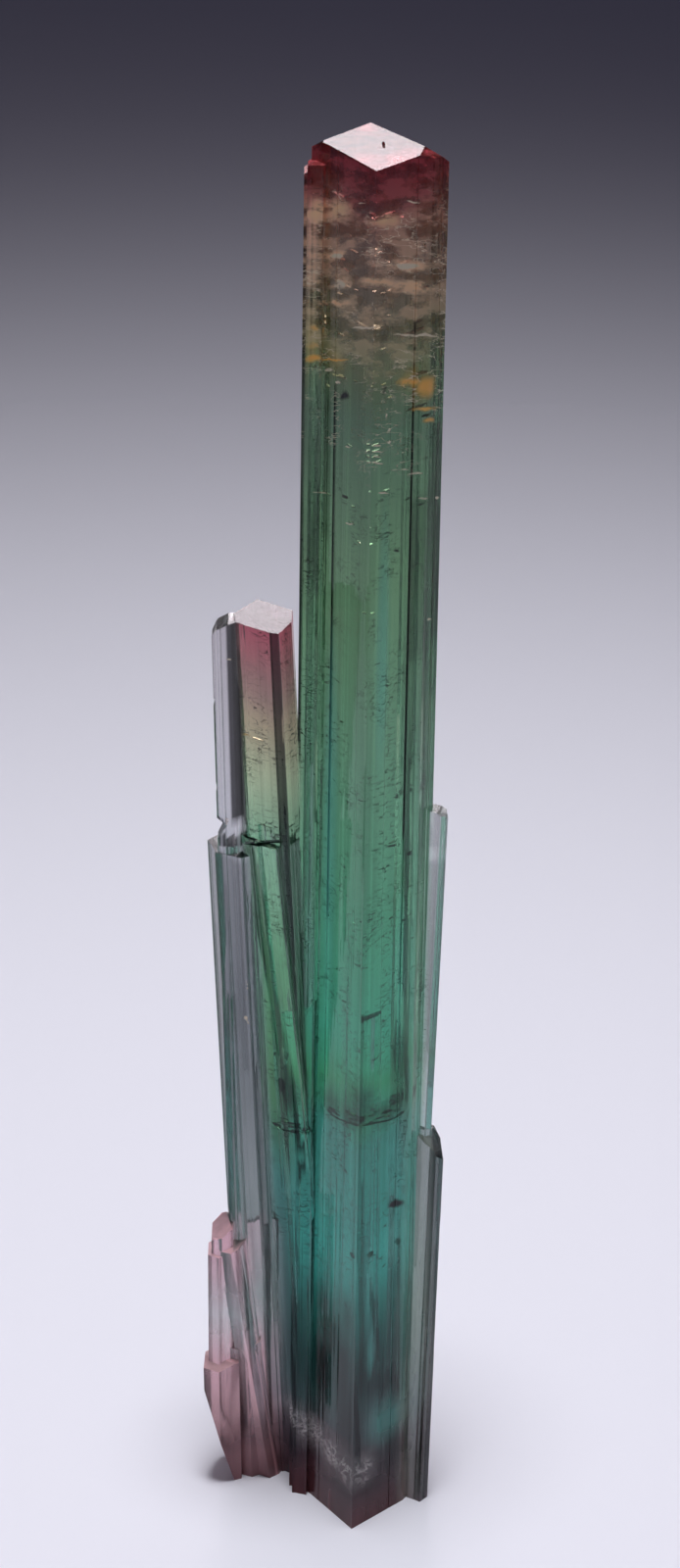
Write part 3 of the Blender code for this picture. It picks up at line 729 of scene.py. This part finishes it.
class Nodes:
    """Short calls for building one material's node tree."""

    def __init__(self, name):
        self.material = bpy.data.materials.new(name)
        self.material.use_nodes = True
        self.tree = self.material.node_tree
        self.tree.nodes.clear()
        self.output = self.new("OutputMaterial")

    def new(self, kind, inputs=None, **settings):
        """A node with these settings, and a value or a link on each of these inputs."""
        node = self.tree.nodes.new("ShaderNode" + kind)
        for key, value in settings.items():
            setattr(node, key, value)
        for key, value in (inputs or {}).items():
            self.place(value, node.inputs[key])
        return node

    def place(self, value, socket):
        if isinstance(value, bpy.types.NodeSocket):
            self.tree.links.new(value, socket)
        else:
            socket.default_value = value

    def math(self, operation, first, second, clamp=False):
        return self.new("Math", {0: first, 1: second}, operation=operation,
                        use_clamp=clamp).outputs[0]

    def times(self, first, second, clamp=False):
        return self.math("MULTIPLY", first, second, clamp)

    def vector(self, operation, first, second):
        return self.new("VectorMath", {0: first, 1: second}, operation=operation).outputs["Vector"]

    def mix(self, factor, first, second, blend="MIX"):
        inputs = {"Factor": factor, "A": first, "B": second}
        return self.new("Mix", inputs, data_type="RGBA", blend_type=blend).outputs["Result"]

    def ramp(self, factor, stops):
        """From tone to tone, each given with the factor's value there."""
        node = self.new("ValToRGB", {0: factor})
        elements = node.color_ramp.elements
        while len(elements) < len(stops):
            elements.new(1)
        for element, (position, tone) in zip(elements, stops):
            element.position = position
            element.color = linear(tone)
        return node.outputs["Color"]

    def fade(self, pattern, start, end, first, last=1):
        """Grey: first where the pattern is at start, last where it is at end."""
        return self.ramp(pattern, ((start, first), (end, last)))

    def mapped(self, vector, scale, location=(0, 0, 0)):
        inputs = {"Vector": vector, "Location": location, "Scale": scale}
        return self.new("Mapping", inputs).outputs["Vector"]

    def noise(self, vector, scale, detail, roughness, output="Fac"):
        """Noise with one scale, or with one for each axis."""
        if isinstance(scale, tuple):
            vector, scale = self.mapped(vector, scale), 1
        inputs = {"Vector": vector, "Scale": scale, "Detail": detail, "Roughness": roughness}
        return self.new("TexNoise", inputs).outputs[output]

    def attribute(self, name):
        return self.new("Attribute", attribute_name=name).outputs["Fac"]


# Colour zones: height in millimetres and colour. The dark main zones from about 2 to 9 mm are
# partly painted shade at the foot.
ZONES = {
    "main": ((0, "80484c"), (2.2, "5c444c"), (4, "345450"), (6, "183c38"), (8.5, "24584f"),
        (11, "3a9688"), (14.5, "3c887a"), (17.3, "3e8474"), (18.4, "3c8a5c"), (20.5, "46a080"),
        (26, "569e7a"), (33, "74a682"), (40, "80ac7e"), (46, "84a886"), (48.3, "a0a878"),
        (50.3, "bcb094"), (52.5, "e0b8a4"), (53.8, "cc9488"), (54.5, "cc7876"), (55, "cc585e"),
        (56, "cc505a")),
    "side": ((0, "604850"), (5, "344848"), (9, "3c5c5a"), (14, "448078"), (16, "3c7054"),
        (18, "50845c"), (24, "68a478"), (29, "90c09c"), (31.5, "c0cfa8"), (33.6, "c8b898"),
        (35.5, "b59089"), (38, "d46578")),
    "pale": ((0, "806c74"), (4, "747880"), (8, "889490"), (14, "969c9c"), (22, "888a8e"),
        (28.2, "a0a0a4"), (28.6, "e0e0e4"), (38, "f4ecf0")),
    "pink": ((0, "b07c80"), (3, "cca0a4"), (5.5, "f0c0c8"), (7.9, "fffafc"), (10, "ffd4de"),
        (12, "fcc4d0")),
}
HAZE_ZONES = ((48, "c0c090"), (50.5, "f8d6b0"), (53.5, "ffceb0"), (54.6, "d87878"), (56, "c84858"))
# Soft marks that tint the colour, in this order: share, colour, how it is laid on. The shadow and
# deep marks are painted shade, glow is painted light, dusk is painted grey shade.
TINTS = (
    ("shadow", 0.8, "30403c", "MULTIPLY"), ("deep_shade", 0.8, "30403c", "MULTIPLY"),
    ("glow", 0.6, "68c8b8", "MIX"), ("dusk", 0.6, "686c64", "MIX"),
    ("mist", 0.45, "d4e4d0", "MIX"), ("amber", 0.6, "d8b058", "MIX"),
)
# What is painted over that, in this order, with its tone or zones. The bright and gold crack marks
# are painted highlights, the gold ones on iron stain.
PAINTS = {
    "etched": 0.02, "hazy": HAZE_ZONES, "veins": "f0e2c8", "tan": "ffd4a8", "dark": 0.008,
    "painted_glint": "f0e2c8", "gold_stain_and_glint": "ffc468", "wisps": "f0eae6",
}
FLOOR_COLOUR = "e6e6f2"

# Noise patterns: whether they follow the slanted layers, scale, detail, roughness.
PATTERNS = {
    "column": (False, (3000, 3000, 110), 4, 0.6),
    "broad": (False, (800, 800, 40), 3, 0.5),
    "cloud": (False, 420, 4, 0.55),
    "line": (False, (1500, 1500, 4200), 2, 0.5),
    "patch": (False, (700, 700, 450), 2, 0.5),
    "vein": (True, (800, 800, 3200), 3, 0.55),
    "layer": (True, (700, 700, 1700), 4, 0.6),
}
WISP_PATTERN = (1500, 4, 0.65)
# The pattern that bends marks and wisps, and how far.
BEND_PATTERN = (1400, 3, 0.5)
BEND = (0.0009, 0.0009, 0.00028)
# How far the colour zones wobble, as a share of the height.
WOBBLE = 0.03
# Hairlines and haze: half width in the noise; lowest and highest level, and soft end.
ETCH_WIDTH, ETCH_SPAN = 0.018, (12, 42, 3)
VEIN_WIDTH, VEIN_SPAN = 0.02, (44.5, 54, 1)
HAZE_SPAN = (48.8, 55.9, 0.8)
WISP_WIDTH = 0.08
PATCH_START, PATCH_CONTRAST = 0.48, 9
HAZE_SHARE = 0.8
WISP_SHARE, VEIL_SHARE = 0.36, 0.3
# How marks fade in the layers: start, end, what is left at the start.
FLECKS = {"tan": (0.38, 0.52, 0.15), "gold_stain_and_glint": (0.34, 0.46, 0.3), "painted_glint": (0.36, 0.5, 0.3)}
# Milky places let less light straight through: how milky each is.
MILK = {
    "pale": 0.04, "pink": 0.06, "upward": 0.6, "frost": 0.9, "haze": 0.6, "veins": 0.8,
    "foot": 0.6, "mist": 0.2, "amber": 0.55, "glow_milk": 1, "etched": 0.8, "tan": 0.75,
    "dark": 0.8, "painted_glint": 0.9, "gold_stain_and_glint": 0.9, "wisps": 0.9,
}
# Milk over the height in millimetres: in pink crystals, at the foot, in places of painted light.
PINK_CLOUD = ((4.5, 0), (7.9, 0.28), (10.5, 0.06))
FOOT_MILK = ((1, 1), (2.6, 0))
GLOW_MILK = ((5.5, 0.5), (8.5, 0.2))
# Roughness: its range, what two families add, and that of flat caps.
ROUGHNESS = (0.02, 0.1)
ADDED_ROUGHNESS = {"pink": 0.16, "pale": 0.08}
CAP_FACING, CAP_ROUGHNESS = 0.95, 0.16
BUMP = {"Strength": 0.2, "Distance": 0.00002}
IOR = 1.63
SPECULAR_TINT = (0.12, 0.13, 0.17, 1)
ABSORPTION = (0.62, 0.86, 0.8, 1)
ABSORPTION_DENSITY = 90


def z_ramp(nodes, height, zones):
    """Colours or greys over the height, from zones of (z in millimetres, tone)."""
    return nodes.ramp(height, [(z / HEIGHT, tone) for z, tone in zones])


def window(nodes, height, low, high, soft):
    """One between two heights in millimetres, fading out over soft at either end."""
    return z_ramp(nodes, height, ((low - soft, 0), (low, 1), (high, 1), (high + soft, 0)))


def hairlines(nodes, pattern, width):
    """Thin winding lines: where a noise crosses its middle value."""
    distance = nodes.math("ABSOLUTE", nodes.math("SUBTRACT", pattern, 0.5), 0)
    return nodes.math("SUBTRACT", 1, nodes.math("DIVIDE", distance, width), clamp=True)


def marked(nodes, position, crispness, marks):
    """One inside any of the marks, which are flat spots, fading out at their edge."""
    nearest = None
    for x, y, z, half_width, half_height in marks:
        centre = np.array((x + MAIN_AXIS[0], y + MAIN_AXIS[1], z + SLANT * (y + MAIN_AXIS[1]))) * MM
        scale = 1 / (np.array((half_width, half_width, half_height)) * MM)
        offset = nodes.mapped(position, scale, -centre * scale)
        distance = nodes.new("VectorMath", {0: offset}, operation="LENGTH").outputs["Value"]
        nearest = distance if nearest is None else nodes.math("MINIMUM", nearest, distance)
    return nodes.times(nodes.math("SUBTRACT", 1, nearest), crispness, clamp=True)


def crystal_fields(nodes):
    """What the finish depends on: height, patterns, marks and the mesh's attributes."""
    geometry = nodes.new("NewGeometry")
    position = geometry.outputs["Position"]
    split = nodes.new("SeparateXYZ", {0: position})
    rise = nodes.new("CombineXYZ", {"Z": nodes.times(split.outputs["Y"], SLANT)})
    layered = nodes.vector("ADD", position, rise.outputs[0])
    f = {name: nodes.attribute(name) for name in (*FAMILIES, "shade", "frost", *SOFT_MARKS)}
    for name, (follows, *pattern) in PATTERNS.items():
        f[name] = nodes.noise(layered if follows else position, *pattern)
    bend = nodes.noise(position, *BEND_PATTERN, output="Color")
    shift = nodes.vector("MULTIPLY", nodes.vector("SUBTRACT", bend, (0.5, 0.5, 0.5)), BEND)
    bent = nodes.vector("ADD", layered, shift)
    f["wisps"] = nodes.noise(bent, *WISP_PATTERN)
    for name, (crispness, marks) in MARKS.items():
        f[name] = marked(nodes, bent, crispness, marks)
    height = nodes.math("DIVIDE", split.outputs["Z"], HEIGHT * MM)
    wobble = nodes.times(nodes.math("SUBTRACT", f["cloud"], 0.5), WOBBLE)
    f["height"] = nodes.math("ADD", height, wobble)
    facing = nodes.new("SeparateXYZ", {0: geometry.outputs["True Normal"]})
    f["up"] = facing.outputs["Z"]
    return f


def add_layers(nodes, f):
    """Adds the hairlines, haze, flecks with painted glints, and wisps, each where it shows."""
    height = f["height"]
    # Dark hairlines over the green part.
    patches = nodes.math("SUBTRACT", f["patch"], PATCH_START)
    patches = nodes.times(patches, PATCH_CONTRAST, clamp=True)
    cracked = nodes.math("MAXIMUM", patches, f["etch"])
    tinted = nodes.math("ADD", f["main"], f["side"], clamp=True)
    etched = nodes.times(hairlines(nodes, f["line"], ETCH_WIDTH), cracked)
    etched = nodes.times(nodes.times(etched, tinted), window(nodes, height, *ETCH_SPAN))
    # Haze and pale hairlines in the brown zone under the cap.
    brown_zone = nodes.times(window(nodes, height, *HAZE_SPAN), f["main"])
    haze = nodes.times(nodes.fade(f["layer"], 0.42, 0.58, 0.1), brown_zone)
    veins = nodes.times(hairlines(nodes, f["vein"], VEIN_WIDTH), patches)
    vein_zone = nodes.times(window(nodes, height, *VEIN_SPAN), f["main"])
    f.update(etched=etched, haze=haze, hazy=nodes.times(haze, HAZE_SHARE),
             veins=nodes.times(veins, vein_zone))
    for name, stops in FLECKS.items():
        f[name] = nodes.times(f[name], nodes.fade(f["layer"], *stops))
    wisps = nodes.times(hairlines(nodes, f["wisps"], WISP_WIDTH), f["veil"])
    f["wisps"] = nodes.math(
        "ADD", nodes.times(wisps, WISP_SHARE), nodes.times(f["veil"], VEIL_SHARE))


def crystal_colour(nodes, f):
    """The zones of the four families, shaded, tinted and painted over with the layers."""
    height = f["height"]
    colour = z_ramp(nodes, height, ZONES["main"])
    for family in FAMILIES[1:]:
        colour = nodes.mix(f[family], colour, z_ramp(nodes, height, ZONES[family]))
    for shade in (nodes.fade(f["column"], 0.33, 0.6, 0.85),
                  nodes.fade(f["broad"], 0.35, 0.6, 0.74), f["shade"]):
        colour = nodes.mix(1, colour, shade, "MULTIPLY")
    for name, share, tint, blend in TINTS:
        colour = nodes.mix(nodes.times(f[name], share), colour, linear(tint), blend)
    for name, tone in PAINTS.items():
        paint = z_ramp(nodes, height, tone) if isinstance(tone, tuple) else linear(tone)
        colour = nodes.mix(f[name], colour, paint)
    return colour


def crystal_clearness(nodes, f):
    """How much light goes straight through."""
    height = f["height"]
    milk = nodes.times(z_ramp(nodes, height, PINK_CLOUD), f["pink"])
    milk = nodes.times(milk, nodes.times(f["cloud"], 2))
    f["upward"] = nodes.times(f["up"], f["pink"], clamp=True)
    f["foot"] = z_ramp(nodes, height, FOOT_MILK)
    f["glow_milk"] = nodes.times(f["glow"], z_ramp(nodes, height, GLOW_MILK))
    for name, share in MILK.items():
        milk = nodes.math("ADD", milk, nodes.times(f[name], share))
    return nodes.math("SUBTRACT", 1, milk, clamp=True)


def crystal_roughness(nodes, f):
    rough = nodes.fade(f["cloud"], 0.35, 0.75, *ROUGHNESS)
    for family, added in ADDED_ROUGHNESS.items():
        rough = nodes.math("ADD", rough, nodes.times(f[family], added))
    cap = nodes.math("GREATER_THAN", f["up"], CAP_FACING)
    return nodes.math("MAXIMUM", rough, nodes.times(cap, CAP_ROUGHNESS))


def crystal_material():
    nodes = Nodes("tourmaline_clear")
    f = crystal_fields(nodes)
    add_layers(nodes, f)
    bump = nodes.new("Bump", {**BUMP, "Height": f["column"]})
    shader = nodes.new("BsdfPrincipled", {
        "Base Color": crystal_colour(nodes, f),
        "Transmission Weight": crystal_clearness(nodes, f),
        "Roughness": crystal_roughness(nodes, f),
        "Normal": bump.outputs["Normal"], "IOR": IOR, "Specular Tint": SPECULAR_TINT})
    volume = nodes.new("VolumeAbsorption", {"Color": ABSORPTION, "Density": ABSORPTION_DENSITY})
    nodes.place(shader.outputs["BSDF"], nodes.output.inputs["Surface"])
    nodes.place(volume.outputs["Volume"], nodes.output.inputs["Volume"])
    return nodes.material


def floor_material():
    nodes = Nodes("studio_floor")
    shader = nodes.new("BsdfPrincipled", {"Base Color": linear(FLOOR_COLOUR), "Roughness": 0.9})
    nodes.place(shader.outputs["BSDF"], nodes.output.inputs["Surface"])
    return nodes.material


# ---- the crystal
rng = random.Random(SEED)
meshes = [prism_mesh(spec, rng) for spec in CRYSTALS]
cutters = [block_mesh(*cut) for cut in CUTS] + crack_meshes(rng)
whole_mesh = fused("tourmaline_crystal", meshes, cutters)
mark_surface(whole_mesh)
into_frame(whole_mesh)
crystal_piece = add_object("tourmaline_crystal", whole_mesh)
whole_mesh.materials.clear()
whole_mesh.materials.append(crystal_material())
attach(crystal_piece, "root")
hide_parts("tourmaline")

# ---- floor, light and camera
FLOOR_SIZE = 1.6
bpy.ops.mesh.primitive_plane_add(size=FLOOR_SIZE)
floor = bpy.context.active_object
floor.name = "studio_floor"
floor.data.materials.append(floor_material())


def aimed_light(kind, name, place, aim, power, **settings):
    """A light at place that points at aim, both in millimetres."""
    data = bpy.data.lights.new(name, kind)
    data.energy = power
    for key, value in settings.items():
        setattr(data, key, value)
    light = add_object(name, data)
    light.location = Vector(place) * MM
    direction = (Vector(aim) - Vector(place)) * MM
    light.rotation_euler = direction.to_track_quat("-Z", "Y").to_euler()
    return light


aimed_light("SPOT", "overhead_pool", (0, -15, 300), (0, -15, 0), 3.12,
            spot_size=math.radians(52.5), spot_blend=0.92, shadow_soft_size=30 * MM)
# Softboxes behind the crystal: name, azimuth, elevation, aim, size and power.
SOFTBOX_DISTANCE = 480
SOFTBOX_SPREAD = 30
SOFTBOX_COLOUR = (1, 0.9, 0.93)
SOFTBOXES = (
    ("back_softbox", 0, 22, (0, 0, HEIGHT), (0.14, 0.15), 0.0082),
    ("side_cap_softbox", -4.5, 31, (-3.7, 0.3, SIDE_TOP), (0.12, 0.09), 0.008),
    ("left_softbox", -20, 23.5, (0, 0, 48), (0.14, 0.08), 0.003),
    ("right_softbox", 28, 23.5, (0, 0, 48), (0.22, 0.08), 0.0045),
    ("pink_softbox", -36, 21, (-5, 0.5, 11), (0.1, 0.1), 0.003),
)
for name, azimuth, elevation, aim, (width, height), power in SOFTBOXES:
    azimuth, elevation = math.radians(azimuth), math.radians(elevation)
    level = math.cos(elevation) * SOFTBOX_DISTANCE
    place = (aim[0] + math.sin(azimuth) * level, aim[1] + math.cos(azimuth) * level,
             aim[2] + math.sin(elevation) * SOFTBOX_DISTANCE)
    softbox = aimed_light("AREA", name, place, aim, power, shape="RECTANGLE", size=width,
                          size_y=height, color=SOFTBOX_COLOUR,
                          spread=math.radians(SOFTBOX_SPREAD))
    softbox.visible_camera = False

WORLD_COLOUR = (0.02, 0.02, 0.034, 1)
world = bpy.data.worlds.new("studio")
world.use_nodes = True
world.node_tree.nodes["Background"].inputs["Color"].default_value = WORLD_COLOUR
scene = bpy.context.scene
scene.world = world
scene.view_settings.view_transform = "Standard"
scene.cycles.glossy_bounces = 12
scene.cycles.transmission_bounces = 16
scene.cycles.max_bounces = 20

PHOTO_HEIGHT = 1600
FOCAL_PIXELS = 5454
SENSOR_HEIGHT = 24
CAMERA_PLACE = (0, -167.3, 124.6)
CAMERA_TILT, CAMERA_PAN, CAMERA_ROLL = 29.11, -0.31, 0.91

camera_data = bpy.data.cameras.new("camera")
camera_data.sensor_fit = "VERTICAL"
camera_data.sensor_height = SENSOR_HEIGHT
camera_data.lens = SENSOR_HEIGHT * FOCAL_PIXELS / PHOTO_HEIGHT
camera_data.clip_start = 0.01
camera = add_object("camera", camera_data)
turn = (Matrix.Rotation(math.radians(-CAMERA_PAN), 4, "Z")
        @ Matrix.Rotation(math.radians(90 - CAMERA_TILT), 4, "X")
        @ Matrix.Rotation(math.radians(CAMERA_ROLL), 4, "Z"))
camera_place = (Vector(CAMERA_PLACE) + Vector((*MAIN_AXIS, 0))) * MM
camera.matrix_world = Matrix.Translation(camera_place) @ turn
scene.camera = camera

# ---- last update of the scene
bpy.context.view_layer.update()
